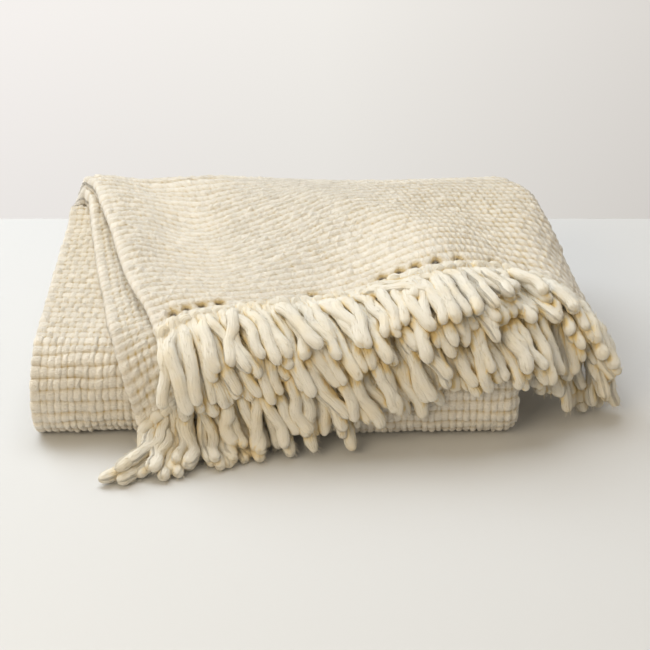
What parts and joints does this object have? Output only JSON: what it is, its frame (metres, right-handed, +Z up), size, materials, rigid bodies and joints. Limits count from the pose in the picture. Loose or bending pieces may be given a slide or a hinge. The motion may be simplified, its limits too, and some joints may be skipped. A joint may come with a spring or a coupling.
{
  "type": "folded wool throw blanket",
  "caption": "Chunky woven wool throw, folded in half and then into a thick pack, with the fringed end laid askew over the top and front.",
  "frame": {"origin": "middle of the folded throw's box, on the surface that it lies on", "axes": "+X along the front fold towards the end where the layers are folded, +Y from the front to the back, +Z up"},
  "size_m": [0.7766, 0.6682, 0.1993],
  "materials": {
    "woven_wool": "soft undyed ivory wool in a pebbly plain weave, matt",
    "wool_roving": "loosely spun ivory wool roving, matt with a faint sheen"
  },
  "bodies": {
    "root": {"throw_cloth": "woven_wool", "fringe_lower": "wool_roving", "fringe_upper": "wool_roving"}
  },
  "joints": []
}
